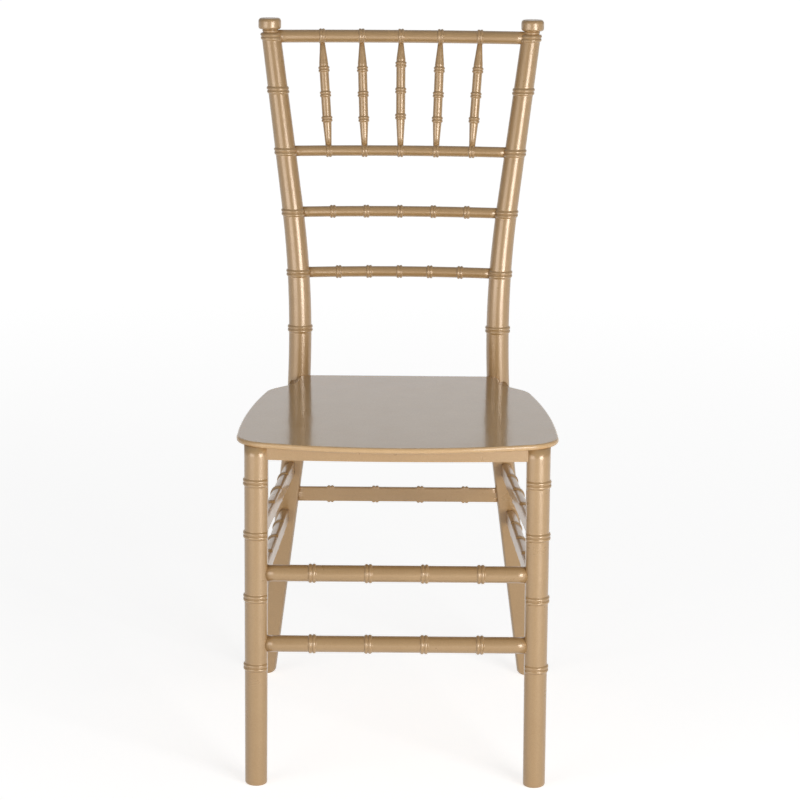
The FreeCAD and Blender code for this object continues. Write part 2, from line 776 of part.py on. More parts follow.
def flatted_bar(name, place, length, radius, flat, rings):
    """A ringed bar with a flat along the side that its frame's -Y looks at."""
    bar = turned(f"{name}_round", place, straight_profile(radius, length), rings)
    room = keep(f"{name}_room", f"4 * {radius}")
    side = box(f"{name}_flat", inside(place, y=f"-{flat} - {room} / 2"), room, room, length)
    return cut(f"{name}_bar", bar, [side])


def make_side_stretcher(name, rear_point, front_height):
    """A bar from a post to a front leg, flat towards the inside, with four rings."""
    spot = leg_spot(name, front_height)
    place, length = span(name, rear_point.spot(), spot)
    radius = "dim.side_stretcher_radius"
    bar = flatted_bar(name, place, length, radius, "dim.side_stretcher_flat",
                      [(radius, f"{length} * {step} / 5") for step in range(1, 5)])
    middle = inside(place, y=f"({radius} - dim.side_stretcher_flat) / 2")
    rear_peg, rear_socket = tenon(f"{name}_rear", middle, "dim.flatted_tenon_radius",
                                  "dim.post_flat - dim.tenon_depth", PEG_LENGTH)
    front_peg, front_socket = tenon(
        f"{name}_front", middle, "dim.flatted_tenon_radius",
        f"{length} - {leg_radius(front_height)} - dim.tenon_root", PEG_LENGTH)
    post_sockets.append(rear_socket)
    leg_sockets.append(front_socket)
    joined(f"{name}_left", bar, [post_blank, leg_blank], [rear_peg, front_peg])
    pieces[f"{name}_right"] = mirrored(f"{name}_mirrored", pieces[f"{name}_left"])


def make_rear_stretcher(name):
    """A bar between the posts, flat towards the front, with four rings."""
    spot = POST[name].spot()
    place, length = span(name, opposite(spot), spot)
    radius = "dim.rear_stretcher_radius"
    rings = [(radius, f"{length} / 2 + {step} * dim.rear_ring_pitch")
             for step in (-1.5, -0.5, 0.5, 1.5)]
    bar = flatted_bar(name, place, length, radius, "dim.rear_stretcher_flat", rings)
    middle = inside(place, y=f"({radius} - dim.rear_stretcher_flat) / 2")
    peg, socket = tenon(f"{name}_tenon", middle, "dim.flatted_tenon_radius",
                        f"{length} - dim.post_radius - dim.tenon_root", PEG_LENGTH)
    post_sockets.append(socket)
    joined(name, bar, post_blanks, [peg, mirrored(f"{name}_peg_right", peg)])


make_front_stretcher("front_stretcher_upper", "at.front_upper_height")
make_front_stretcher("front_stretcher_lower", "at.front_lower_height")
make_side_stretcher("side_stretcher_upper", POST["side_upper"], "at.side_upper_front_height")
make_side_stretcher("side_stretcher_lower", POST["side_lower"], "at.side_lower_front_height")
make_rear_stretcher("rear_stretcher")


# Aprons under the seat and the screws that hold it

def make_front_apron():
    """The bowed rail under the seat's front edge, before its joints."""
    middle_y = keep("front_apron_y", leg_spot("apron_leg", APRON_MIDDLE)[1])
    front = f"{middle_y} - dim.apron_thickness / 2"
    back = f"{middle_y} + dim.apron_thickness / 2"
    return pad("front_apron_bar", frame(0, 0, APRON_UNDERSIDE), [
        ("-at.apron_leg_x", front, "0", f"{front} - dim.front_apron_bow"),
        ("at.apron_leg_x", front),
        ("at.apron_leg_x", back, "0", f"{back} - dim.front_apron_bow"),
        ("-at.apron_leg_x", back),
    ], "dim.apron_height")


def make_screw(name, x, y):
    """A pan head screw up through an apron into the seat. It gives back the screw, its
    hole in the apron and its pilot hole in the seat."""
    seat_of_head = f"{APRON_UNDERSIDE} + dim.screw_recess"
    shank_top = f"{SEAT_UNDERSIDE} + dim.screw_bite"
    head_bottom = f"{seat_of_head} - dim.screw_head_height"
    head = solid("Cylinder", f"{name}_head", frame(x, y, head_bottom),
                 Radius="dim.screw_head_radius", Height="dim.screw_head_height")
    slot = box(f"{name}_slot", frame(x, y, head_bottom), "3 * dim.screw_head_radius",
               "dim.screw_slot_width", "dim.screw_slot_width")
    shank = solid("Cylinder", f"{name}_shank", frame(x, y, seat_of_head),
                  Radius="dim.screw_radius", Height=f"{shank_top} - ({seat_of_head})")
    hole = fuse(f"{name}_hole", [
        solid("Cylinder", f"{name}_clearance", frame(x, y, seat_of_head),
              Radius="dim.screw_radius + dim.fit", Height="dim.apron_height"),
        solid("Cylinder", f"{name}_recess", frame(x, y, f"{APRON_UNDERSIDE} - dim.fit"),
              Radius="dim.screw_head_radius + 2 * dim.fit",
              Height="dim.screw_recess + dim.fit"),
    ])
    pilot = solid("Cylinder", f"{name}_pilot", frame(x, y, SEAT_UNDERSIDE),
                  Radius="dim.screw_radius", Height="dim.screw_bite")
    return fuse(name, [cut(f"{name}_slotted", head, [slot]), shank]), hole, pilot


front_apron_bar = make_front_apron()

apron_post = POST["apron"]
apron_leg = ("at.apron_leg_x", "at.apron_leg_y", APRON_MIDDLE)
side_place, side_length = span("side_apron", apron_post.spot(), apron_leg)
side_apron_bar = box("side_apron_bar", side_place, "dim.apron_height", "dim.apron_thickness",
                     side_length)
side_rear_peg, side_rear_mortise = flat_tenon(
    "side_apron_rear", side_place, "dim.post_radius - dim.apron_tenon_depth", FLAT_PEG_LENGTH)
side_front_peg, side_front_mortise = flat_tenon(
    "side_apron_front", side_place,
    f"{side_length} - {leg_radius(APRON_MIDDLE)} - dim.tenon_root", FLAT_PEG_LENGTH)
post_sockets.append(side_rear_mortise)
leg_sockets.append(side_front_mortise)

front_place, front_length = span("front_apron", opposite(apron_leg), apron_leg)
front_peg, front_mortise = flat_tenon(
    "front_apron_tenon", front_place,
    f"{front_length} - {leg_radius(APRON_MIDDLE)} - dim.tenon_root", FLAT_PEG_LENGTH)
leg_sockets.append(front_mortise)

rear_y = keep("rear_apron_y", f"{apron_post.y} - dim.rear_apron_inset")
rear_spot = (apron_post.x, rear_y, APRON_MIDDLE)
rear_place, rear_length = span("rear_apron", opposite(rear_spot), rear_spot)
rear_apron_bar = box("rear_apron_bar", rear_place, "dim.apron_height", "dim.apron_thickness",
                     rear_length)
rear_peg, rear_mortise = flat_tenon(
    "rear_apron_tenon", inside(rear_place, y="dim.rear_apron_inset / 2"),
    f"{rear_length} - dim.post_radius - dim.tenon_root", FLAT_PEG_LENGTH)
post_sockets.append(rear_mortise)


def along_side(share):
    """The x and y of a point part of the way from the post to the front leg."""
    return tuple(f"({a} + ({b} - {a}) * ({share}))" for a, b in zip(apron_post.spot(), apron_leg))[:2]


screws = [
    make_screw("screw_front", "dim.front_screw_spacing / 2",
               "at.front_apron_y - dim.front_apron_bow"),
    make_screw("screw_side_rear", *along_side("dim.side_screw_share")),
    make_screw("screw_side_front", *along_side("1 - dim.side_screw_share")),
]
joined("front_apron", front_apron_bar, leg_blanks,
       [front_peg, mirrored("front_apron_peg_right", front_peg)],
       [screws[0][1], mirrored("screw_front_hole_right", screws[0][1])])
joined("side_apron_left", side_apron_bar, [post_blank, leg_blank, front_apron_bar],
       [side_rear_peg, side_front_peg], [screws[1][1], screws[2][1]])
pieces["side_apron_right"] = mirrored("side_apron_mirrored", pieces["side_apron_left"])
joined("rear_apron", rear_apron_bar,
       post_blanks + [side_apron_bar, mirrored("side_apron_bar_right", side_apron_bar)],
       [rear_peg, mirrored("rear_apron_peg_right", rear_peg)])

screws_left = doc.addObject("Part::Compound", "screws_left")
screws_left.Links = [screw for screw, hole, pilot in screws]
all_screws = doc.addObject("Part::Compound", "all_screws")
all_screws.Links = [screws_left, mirrored("screws_right", screws_left)]
pieces["seat_screws"] = all_screws

pilots = fuse("seat_pilots", [pilot for screw, hole, pilot in screws])
pieces["seat"] = cut("seat_bored", seat_plate, [pilots, mirrored("seat_pilots_right", pilots)])

# The seat's tongue sits in a notch in the front of each post
notch_front = keep("notch_front", f"{apron_post.y} - 2 * dim.post_radius")
tongue_taper = "dim.tongue_flare / dim.tongue_length"
notch_end = keep("notch_end", f"{TONGUE_END_HALF} + {tongue_taper} * ({SEAT_REAR}"
                 f" - ({apron_post.y} - dim.post_radius)) + dim.fit")
notch = solid("Box", "tongue_notch", frame(0, notch_front, SEAT_UNDERSIDE),
              Length=notch_end, Width=f"{SEAT_REAR} + dim.fit - {notch_front}",
              Height="dim.seat_thickness + dim.fit")

pieces["back_post_left"] = cut("post_finished", post_blank, post_sockets + [notch])
pieces["back_post_right"] = mirrored("post_finished_right", pieces["back_post_left"])
pieces["front_leg_left"] = cut("leg_finished", leg_blank, leg_sockets)
pieces["front_leg_right"] = mirrored("leg_finished_right", pieces["front_leg_left"])
doc.recompute()

# Every object is checked before any file is written
for obj in doc.Objects:
    if "Invalid" in obj.State or "Error" in obj.State:
        raise RuntimeError(f"{obj.Name} did not recompute: {obj.State}")
for name, piece in pieces.items():
    piece.Label = name
    shape = piece.Shape
    if shape.isNull() or not shape.isValid():
        raise RuntimeError(f"{name} has no valid shape")
    print(f"{name}: {len(shape.Solids)} solids, {shape.Volume / 1000:.1f} cm3")

os.makedirs("parts", exist_ok=True)
for name, piece in pieces.items():
    piece.Shape.exportStep(f"parts/{name}.step")
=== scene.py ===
# %% [markdown]
# A chiavari chair is the light stacking chair of weddings and banquets. Its bamboo look comes
# from double rings on every round member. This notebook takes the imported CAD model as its
# frame, makes the members that show again as smooth swept surfaces, gives them the finish of
# a champagne gold resin chair, and sets up the light and the camera.

# %% Load the frame
import math

import bpy
import numpy as np
from mathutils import Matrix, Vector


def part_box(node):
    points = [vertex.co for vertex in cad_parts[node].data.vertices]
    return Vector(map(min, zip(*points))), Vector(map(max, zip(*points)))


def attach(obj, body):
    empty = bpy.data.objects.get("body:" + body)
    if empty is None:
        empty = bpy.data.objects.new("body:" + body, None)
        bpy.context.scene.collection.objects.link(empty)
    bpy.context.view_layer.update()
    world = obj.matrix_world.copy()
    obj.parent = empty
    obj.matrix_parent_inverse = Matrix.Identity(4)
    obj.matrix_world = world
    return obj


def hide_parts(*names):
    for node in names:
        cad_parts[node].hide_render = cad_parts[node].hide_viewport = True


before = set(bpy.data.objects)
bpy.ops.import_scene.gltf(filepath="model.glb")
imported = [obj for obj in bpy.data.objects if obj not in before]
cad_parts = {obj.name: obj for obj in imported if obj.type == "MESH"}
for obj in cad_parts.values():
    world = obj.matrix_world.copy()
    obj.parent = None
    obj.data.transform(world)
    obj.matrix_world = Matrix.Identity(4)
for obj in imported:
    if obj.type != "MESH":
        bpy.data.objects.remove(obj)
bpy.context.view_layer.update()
print("CAD nodes:", len(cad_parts))

# %% [markdown]
# Lengths are written in millimetres, as on a drawing, and become metres in one place, where
# a mesh is made. A place in the chair is (x, y, z): x to the sitter's left, y backwards, z up
# from the floor.

# %% Sizes of the chair
MM = 0.001
PLATE = dict(top=443.0, thickness=7.0)
BEAD = dict(radius=2.6, proud=1.8, pitch=4.7)
RAIL_BEAD = dict(radius=2.1, proud=1.8, pitch=3.9)
SPINDLE_BEAD = dict(RAIL_BEAD, proud=1.5)
HALF_DEPTH = 244.8
UNDERSIDE = PLATE["top"] - PLATE["thickness"]
print(f"The plate's underside is {UNDERSIDE} mm up.")


# %% [markdown]
# Every member is a round bar with double rings, so one surface serves them all: a circle
# carried along a path. Its radius changes along the path, where the rings swell it, and round
# the circle, where a flat is cut. A lathe-like Spin or a curve with a bevel could do the
# round part, but not the flats, so the surface is a grid of numbers.

# %% Surface carried along a path
def closed_tube(name, path, tangent, side, radius, mirror=False):
    """Point (i, j) is path[i] + radius[i, j] (cos a_j n_i + sin a_j side), where a_j goes
    once round, and n_i is side x tangent[i]. Both ends close on their path point. A mirrored
    tube goes round the other way, so that its faces still look outwards."""
    side = np.asarray(side, float)
    if mirror:
        across = np.array([-1.0, 1.0, 1.0])
        path, tangent, side = path * across, tangent * across, -side * across
        radius = np.roll(radius[:, ::-1], 1, axis=1)
    count = radius.shape[1]
    angle = np.linspace(0, 2 * np.pi, count, endpoint=False)
    normal = np.cross(side, tangent)
    normal /= np.linalg.norm(normal, axis=1, keepdims=True)
    rim = (np.cos(angle)[None, :, None] * normal[:, None, :]
           + np.sin(angle)[None, :, None] * side[None, None, :])
    wall = path[:, None, :] + radius[:, :, None] * rim
    points = np.concatenate([wall.reshape(-1, 3), path[:1], path[-1:]])
    rows = len(path)
    i, j = np.meshgrid(np.arange(rows - 1), np.arange(count), indexing="ij")
    after = (j + 1) % count
    quads = np.stack([i * count + j, i * count + after,
                      (i + 1) * count + after, (i + 1) * count + j], axis=-1).reshape(-1, 4)
    around = np.arange(count)
    step = (around + 1) % count
    first, last = rows * count, rows * count + 1
    top = (rows - 1) * count
    caps = np.concatenate([
        np.stack([np.full(count, first), step, around], axis=1),
        np.stack([np.full(count, last), top + around, top + step], axis=1)])
    mesh = bpy.data.meshes.new(name)
    mesh.from_pydata(points * MM, [], quads.tolist() + caps.tolist())
    mesh.polygons.foreach_set("use_smooth", np.ones(len(mesh.polygons), bool))
    mesh.update()
    piece = bpy.data.objects.new(name, mesh)
    bpy.context.scene.collection.objects.link(piece)
    return piece


# %% [markdown]
# On the real chair a double ring is two half-round beads side by side, moulded in one with the
# member, so their feet are soft. A bead's height is a circle's, and a soft maximum joins
# bead, bead and bar without a crease.

# %% Double rings
SOFT_FOOT = 0.35


def soft_max(a, b, softness):
    """The larger of two numbers, rounded where they cross: the mean plus half the length of
    (difference, softness)."""
    return (a + b + np.hypot(a - b, softness)) / 2 - softness / 2


def ring_height(along, rings, bead=BEAD):
    """How far the rings stand out at each place: for a bead centred at c the height is
    sqrt(radius^2 - (s - c)^2) - (radius - proud), softly joined to the bar at height 0."""
    sunk = bead["proud"] - bead["radius"]
    height = np.full_like(along, sunk)
    for ring in rings:
        for centre in (ring - bead["pitch"] / 2, ring + bead["pitch"] / 2):
            reach = np.clip(bead["radius"] ** 2 - (along - centre) ** 2, 0, None)
            height = np.maximum(height, np.sqrt(reach) + sunk)
    return soft_max(height, 0.0, SOFT_FOOT) - soft_max(sunk, 0.0, SOFT_FOOT)


RING_REACH = 8.0
FINE_STEP = 0.45
NEAREST_STEP = 0.1


def stations(start, end, rings, coarse=12.0):
    """Places along a member: a coarse step, and a fine one across each ring."""
    places = [np.linspace(start, end, max(2, int((end - start) / coarse) + 1))]
    for ring in rings:
        places.append(ring + np.arange(-RING_REACH, RING_REACH + FINE_STEP, FINE_STEP))
    along = np.unique(np.concatenate(places))
    along = along[(along >= start) & (along <= end)]
    return along[np.concatenate([[True], np.diff(along) > NEAREST_STEP])]


half = math.sqrt(BEAD["radius"] ** 2 - (BEAD["radius"] - BEAD["proud"]) ** 2)
print("a pair of beads covers", round(BEAD["pitch"] + 2 * half, 1), "mm of a post")


# %% [markdown]
# The stretchers and the legs have a flat along the side that looks into the chair, where the
# mould opened. Cutting the circle by a line at a distance d from its centre gives the radius
# d / cos(a) on that side, and the smaller of the two radii is the D section.

# %% Flats
COLUMNS = 96
SOFT_CORNER = 0.6
# below this cosine the line is out of reach, and the radius stays as it is
LEAST_FACING = 0.05
OUT_OF_REACH = 1000.0


def round_section(radius):
    """The same radius all the way round, for each place along the member."""
    return np.repeat(radius[:, None], COLUMNS, axis=1)


def flatted_section(radius, flat, towards):
    """The radius cut down to flat / cos(a - towards) on one side, with a soft corner."""
    angle = np.linspace(0, 2 * np.pi, COLUMNS, endpoint=False)
    facing = np.cos(angle - towards)
    line = np.where(facing > LEAST_FACING,
                    flat[:, None] / np.maximum(facing, LEAST_FACING), OUT_OF_REACH)
    return -soft_max(-radius, -line, SOFT_CORNER)


print("columns round a member:", COLUMNS)


# %% [markdown]
# Every member but the posts and legs ends in a peg that sits in its neighbour. A member is a
# line between the axes of its two neighbours, and an end is three lengths: where the peg's tip
# is, where the full bar starts, and the peg's radius.

# %% Members between two neighbours
PEG_STEP = 0.02


def bar(name, line, length, ends, radius_at, rings=(), bead=BEAD, flat=None, towards=0.0,
        side=(0, 0, 1), mirror=False):
    """line(s) gives the point and direction at a distance s from the first neighbour's axis,
    and radius_at(s) the bare radius there."""
    (first_tip, first_bar, first_peg), (last_tip, last_bar, last_peg) = ends
    along = stations(first_bar, length - last_bar, rings)
    radius = round_section(radius_at(along) + ring_height(along, rings, bead))
    if flat is not None:
        radius = flatted_section(radius, np.full(len(along), flat), towards)
    # the bar ends in a flat face, where the peg starts
    along = np.concatenate([[first_tip, first_bar - PEG_STEP], along,
                            [length - last_bar + PEG_STEP, length - last_tip]])
    radius = np.concatenate([round_section(np.full(2, first_peg)), radius,
                             round_section(np.full(2, last_peg))])
    path, tangent = line(along)
    side = np.asarray(side, float)
    side = side - np.dot(side, tangent[0]) * tangent[0]
    return closed_tube(name, path, tangent, side / np.linalg.norm(side), radius, mirror)


def straight_line(start, end):
    """The straight line from start to end, and its length."""
    start, end = np.array(start, float), np.array(end, float)
    length = np.linalg.norm(end - start)
    direction = (end - start) / length

    def line(along):
        return start + along[:, None] * direction, np.tile(direction, (len(along), 1))

    return line, length


# %% [markdown]
# The back post is one bent piece from the floor to its finial. Seen from above it leans along
# one straight line, out and back, so its bend lies in one upright plane: a straight leg, a
# round bend at the waist, and a straight upright.

# %% Line of a back post
POST = dict(waist=505.0, waist_x=134.2, plane=43.3, back_bend=960.0, leg_bend=1150.0,
            rake=10.1, splay=9.58, radius=15.0, top_radius=12.6, foot_radius=12.6)
RAIL_BOW = 12.5
CREST = dict(height=897.7, radius=8.65, pitch=53.2)
# the post's taper ends at the middle of the crest ring's upper bead
POST["neck"] = CREST["height"] + BEAD["pitch"] / 2


def post_out(height):
    """Distance from the waist along the plane of the bend: R - sqrt(R^2 - rise^2) within the
    bend, and a straight line past it. Also the slope there."""
    height = np.asarray(height, float)
    above = height > POST["waist"]
    rise = np.abs(height - POST["waist"])
    bend = np.where(above, POST["back_bend"], POST["leg_bend"])
    lean = np.radians(np.where(above, POST["rake"], POST["splay"]))
    inside = np.minimum(rise, bend * np.sin(lean))
    out = bend - np.sqrt(bend ** 2 - inside ** 2) + (rise - inside) * np.tan(lean)
    angle = np.arcsin(inside / bend)
    return out, np.where(above, angle, -angle)


PLANE = math.radians(POST["plane"])
WAIST_Y = (HALF_DEPTH - CREST["radius"] - RAIL_BEAD["proud"] - RAIL_BOW
           - float(post_out(CREST["height"])[0]) * math.sin(PLANE))


def post_point(height):
    """The left post's axis at a height."""
    out = post_out(height)[0]
    return np.stack([POST["waist_x"] + out * math.cos(PLANE),
                     WAIST_Y + out * math.sin(PLANE),
                     np.asarray(height, float) + 0 * out], axis=-1)


print(f"The post stands at y = {WAIST_Y:.1f} mm at its waist.")

# %% [markdown]
# The photograph shows the post's rings level with the floor although the post leans, and so
# are the knob and the bead on its neck. The post is therefore built from level slices: a
# level slice through a leaning bar of radius r is an ellipse, r / cos(lean) long in the
# direction of the lean and r across it.

# %% Back posts
KNOB = dict(radius=15.3, top_radius=11.5, rounding=3.2, height=14.9, top=922.0,
            neck_radius=10.4, neck_bead=0.9, neck_bead_radius=2.0)
KNOB["underside"] = KNOB["top"] - KNOB["height"]
# the knob's bevelled top is this many roundings high
BEVEL_SHARE = 1.5
SOFT_NECK = 0.2
FOOT_ROUNDING = 7.5
# above its top the flat moves out by fade_out over a height of fade, and so it ends
POST_FLAT = dict(distance=8.5, top=412.0, fade=6.0, fade_out=30.0)
POST_RINGS = (507.0, 583.0, 664.4, 745.6, 827.0, CREST["height"])
LEG_END = POST["waist"] - POST["leg_bend"] * math.sin(math.radians(POST["splay"]))


def post_heights():
    """Heights of the post's slices, closer across the rings and the foot."""
    heights = stations(FOOT_ROUNDING, POST["neck"], POST_RINGS, coarse=9.0)
    foot = FOOT_ROUNDING * (1 - np.cos(np.linspace(0, np.pi / 2, 10)))[:-1]
    return np.concatenate([foot, heights])


def post_radius(height):
    """Bare radius: a taper from foot to bend, a constant stretch, and a taper to the neck."""
    knots = [0.0, LEG_END, POST["waist"], POST["neck"]]
    sizes = [POST["foot_radius"], POST["radius"], POST["radius"], POST["top_radius"]]
    radius = np.interp(height, knots, sizes)
    up = np.clip(height / FOOT_ROUNDING, 0, 1)
    return radius - FOOT_ROUNDING * (1 - np.sqrt(1 - (1 - up) ** 2))


def neck_and_knob():
    """(height, radius) of the neck with its bead, and of the knob: a quarter round, an
    upright side and a bevelled top. The neck starts inside the crest ring's upper bead."""
    neck = np.linspace(POST["neck"], KNOB["underside"], 41)
    up = neck - POST["neck"]
    crest_bead = (POST["top_radius"] + BEAD["proud"] - BEAD["radius"]
                  + np.sqrt(np.clip(BEAD["radius"] ** 2 - up ** 2, 0, None)))
    middle = (POST["neck"] + BEAD["radius"] + KNOB["underside"]) / 2
    sunk = KNOB["neck_bead"] - KNOB["neck_bead_radius"]
    reach = np.clip(KNOB["neck_bead_radius"] ** 2 - (neck - middle) ** 2, 0, None)
    bare = KNOB["neck_radius"] + soft_max(np.sqrt(reach) + sunk, 0.0, SOFT_NECK)
    quarter = np.linspace(0, np.pi / 2, 9)
    shoulder = KNOB["height"] - BEVEL_SHARE * KNOB["rounding"]
    heights = [neck, KNOB["underside"] + KNOB["rounding"] * (1 - np.cos(quarter)),
               KNOB["underside"] + shoulder + (KNOB["height"] - shoulder) * np.sin(quarter)]
    radii = [np.where(up < BEAD["radius"], crest_bead, bare),
             KNOB["radius"] - KNOB["rounding"] * (1 - np.sin(quarter)),
             KNOB["top_radius"] + (KNOB["radius"] - KNOB["top_radius"]) * np.cos(quarter)]
    return heights, radii


def make_post(name, mirror):
    """Level slices round the post's line. The plane of the front flat stays straight where
    the post bends away from it, and the knob is centred where the line passes it."""
    heights = post_heights()
    path = post_point(heights)
    lean = post_out(heights)[1][:, None]
    angle = np.linspace(0, 2 * np.pi, COLUMNS, endpoint=False)[None, :]
    slice_shape = 1 / np.sqrt((np.cos(angle) * np.cos(lean)) ** 2 + np.sin(angle) ** 2)
    bare = post_radius(heights)[:, None]
    ring = ring_height(heights, POST_RINGS)[:, None]
    # the beads are round, so the ellipse fades out under them
    radius = bare + ring + bare * (slice_shape - 1) * np.clip(1 - ring / SOFT_FOOT, 0, 1)
    leg_slope = math.sin(PLANE) * math.tan(math.radians(POST["splay"]))
    straight_y = post_point(np.array([LEG_END]))[0][1] - (heights - LEG_END) * leg_slope
    bent_away = path[:, 1] - straight_y
    fade = (np.clip((heights - POST_FLAT["top"]) / POST_FLAT["fade"], 0, 1)
            * POST_FLAT["fade_out"])
    forwards = math.atan2(-math.cos(PLANE), -math.sin(PLANE))
    radius = flatted_section(radius, POST_FLAT["distance"] + bent_away + fade, forwards)
    (neck, *knob), radii = neck_and_knob()
    knob = np.concatenate(knob)
    knob_middle = post_point(np.array([KNOB["underside"] + KNOB["height"] / 2]))[0]
    knob_path = np.stack([np.full_like(knob, knob_middle[0]),
                          np.full_like(knob, knob_middle[1]), knob], axis=-1)
    path = np.concatenate([path, post_point(neck), knob_path])
    radius = np.concatenate([radius, round_section(np.concatenate(radii))])
    tangent = np.tile([0.0, 0.0, 1.0], (len(path), 1))
    side = np.array([-math.sin(PLANE), math.cos(PLANE), 0.0])
    return closed_tube(name, path, tangent, side, radius, mirror)


pieces = {}
pieces["back_post_left"] = make_post("post_left_surface", mirror=False)
pieces["back_post_right"] = make_post("post_right_surface", mirror=True)
print("slices of a post:", len(post_heights()))

# %% [markdown]
# A front leg is nearly upright and tapers a little towards the floor. Its four double rings
# match those of a turned leg, and one flat all the way up, on the side that looks across to
# the other leg, cuts them off. It stops under the seat plate, which rests on it.

# %% Front legs
LEG = dict(out_foot=174.3, out_top=171.8, back_foot=37.7, back_top=41.7, foot_radius=13.9,
           top_radius=15.6, rounding=3.5, flat=13.3,
           rings=(154.5, 243.4, 324.0, 390.6))


def leg_point(height):
    """The left leg's axis at a height."""
    share = height / UNDERSIDE
    return np.array([LEG["out_foot"] + (LEG["out_top"] - LEG["out_foot"]) * share,
                     -HALF_DEPTH + LEG["back_foot"]
                     + (LEG["back_top"] - LEG["back_foot"]) * share, height])


def make_leg(name, mirror):
    """A tapered bar, rounded at its foot, with a flat along its inner side."""
    line, length = straight_line(leg_point(0.0), leg_point(UNDERSIDE))
    foot = LEG["rounding"] * (1 - np.cos(np.linspace(0, np.pi / 2, 8)))[:-1]
    along = np.concatenate([foot, stations(LEG["rounding"], length, LEG["rings"])])
    taper = LEG["foot_radius"] + (LEG["top_radius"] - LEG["foot_radius"]) * along / length
    up = np.clip(along / LEG["rounding"], 0, 1)
    bare = taper - LEG["rounding"] * (1 - np.sqrt(1 - (1 - up) ** 2))
    radius = round_section(bare + ring_height(along, LEG["rings"]))
    path, tangent = line(along)
    # the side vector is backwards, so angle 0 looks out and the flat is half a turn round
    radius = flatted_section(radius, np.full(len(along), LEG["flat"]), math.pi)
    side = np.array([0.0, 1.0, 0.0])
    return closed_tube(name, path, tangent, side, radius, mirror)


pieces["front_leg_left"] = make_leg("leg_left_surface", mirror=False)
pieces["front_leg_right"] = make_leg("leg_right_surface", mirror=True)
print("leg's tilt, mm over its height:", LEG["out_foot"] - LEG["out_top"])

# %% [markdown]
# Four rails cross the back, all bowed backwards by the same amount, so that each is an arc of
# a circle through both posts. The crest rail is thicker than the other three.

# %% Back rails
RAIL_PEG = 4.5
TENON_DEPTH = 9.0
# a bar starts this far inside its neighbour's surface
INSIDE_ROUND = 1.5
RAILS = dict(crest_rail=dict(height=CREST["height"], radius=CREST["radius"],
                             pitch=CREST["pitch"]),
             spindle_rail=dict(height=745.6, radius=7.2, pitch=48.2),
             middle_rail=dict(height=664.4, radius=7.2, pitch=45.3),
             lower_rail=dict(height=583.0, radius=7.2, pitch=41.2))


def rail_arc(height):
    """Radius of the circle through both posts with the rail's bow, from
    R = (half^2 + bow^2) / (2 bow), and the y of its centre."""
    half, back = post_point(height)[:2]
    radius = (half ** 2 + RAIL_BOW ** 2) / (2 * RAIL_BOW)
    return half, radius, back + RAIL_BOW - radius


def rail_line(height):
    """The rail's arc from the right post's axis to the left one's, and its length."""
    half, radius, centre = rail_arc(height)
    half_angle = math.asin(half / radius)

    def line(along):
        angle = along / radius - half_angle
        level = np.full_like(angle, height)
        return (np.stack([radius * np.sin(angle), centre + radius * np.cos(angle), level], -1),
                np.stack([np.cos(angle), -np.sin(angle), 0 * angle], -1))

    return line, 2 * half_angle * radius


def make_rail(node, height, radius, pitch):
    """The rings stand at even steps across the chair, so their places along the arc are
    R asin(x / R)."""
    line, length = rail_line(height)
    arc = rail_arc(height)[1]
    rings = [length / 2 + arc * math.asin(step * pitch / arc) for step in range(-2, 3)]
    post = float(post_radius(np.array([height]))[0])
    end = (post - TENON_DEPTH, math.sqrt(post ** 2 - radius ** 2) - INSIDE_ROUND, RAIL_PEG)
    return bar(f"{node}_surface", line, length, (end, end),
               lambda along: np.full_like(along, radius), rings, RAIL_BEAD)


for node, sizes in RAILS.items():
    pieces[node] = make_rail(node, **sizes)
    print(node, "reach across:", round(float(post_point(sizes["height"])[0]) * 2, 1), "mm")

# %% [markdown]
# Five spindles stand between the rail and the crest, each between the beads of a ring. A
# spindle is thickest between its lowest ring and a little past its highest one, and tapers
# to both ends, more to the crest.

# %% Spindles
SPINDLE = dict(radius=6.2, foot_radius=4.1, crest_radius=3.3, shoulder=7.0, peg=2.2,
               peg_depth=4.0, inside_rail=1.0)
SPINDLE_RINGS = dict(centre=(791.0, 34.7), outer=(787.5, 33.2))


def on_rail(node, across):
    """The point of a rail's axis at a distance across from the middle."""
    half, radius, centre = rail_arc(RAILS[node]["height"])
    return (across, centre + math.sqrt(radius ** 2 - across ** 2), RAILS[node]["height"])


def make_spindle(step):
    """A spindle counted from the middle, from rail axis to crest axis."""
    foot = on_rail("spindle_rail", step * RAILS["spindle_rail"]["pitch"])
    head = on_rail("crest_rail", step * RAILS["crest_rail"]["pitch"])
    line, length = straight_line(foot, head)
    low, gap = SPINDLE_RINGS["centre" if step == 0 else "outer"]
    stretch = length / (head[2] - foot[2])
    rings = [(low + number * gap - foot[2]) * stretch for number in range(3)]
    knots = [RAILS["spindle_rail"]["radius"], rings[0], rings[2] + SPINDLE["shoulder"],
             length - CREST["radius"]]
    sizes = [SPINDLE["foot_radius"], SPINDLE["radius"], SPINDLE["radius"],
             SPINDLE["crest_radius"]]
    ends = [(radius - SPINDLE["peg_depth"], radius - SPINDLE["inside_rail"], SPINDLE["peg"])
            for radius in (RAILS["spindle_rail"]["radius"], CREST["radius"])]
    return bar(f"spindle_{step + 3}_surface", line, length, ends,
               lambda along: np.interp(along, knots, sizes), rings, SPINDLE_BEAD,
               side=(0, 1, 0))


for step in range(-2, 3):
    pieces[f"spindle_{step + 3}"] = make_spindle(step)
print("spindles:", sum(node.startswith("spindle_") for node in pieces) - 1)

# %% [markdown]
# Stretchers tie the legs together: two round ones in front, two on each side and one behind.
# The side and rear ones are D shaped, flat where the mould opened into the chair.

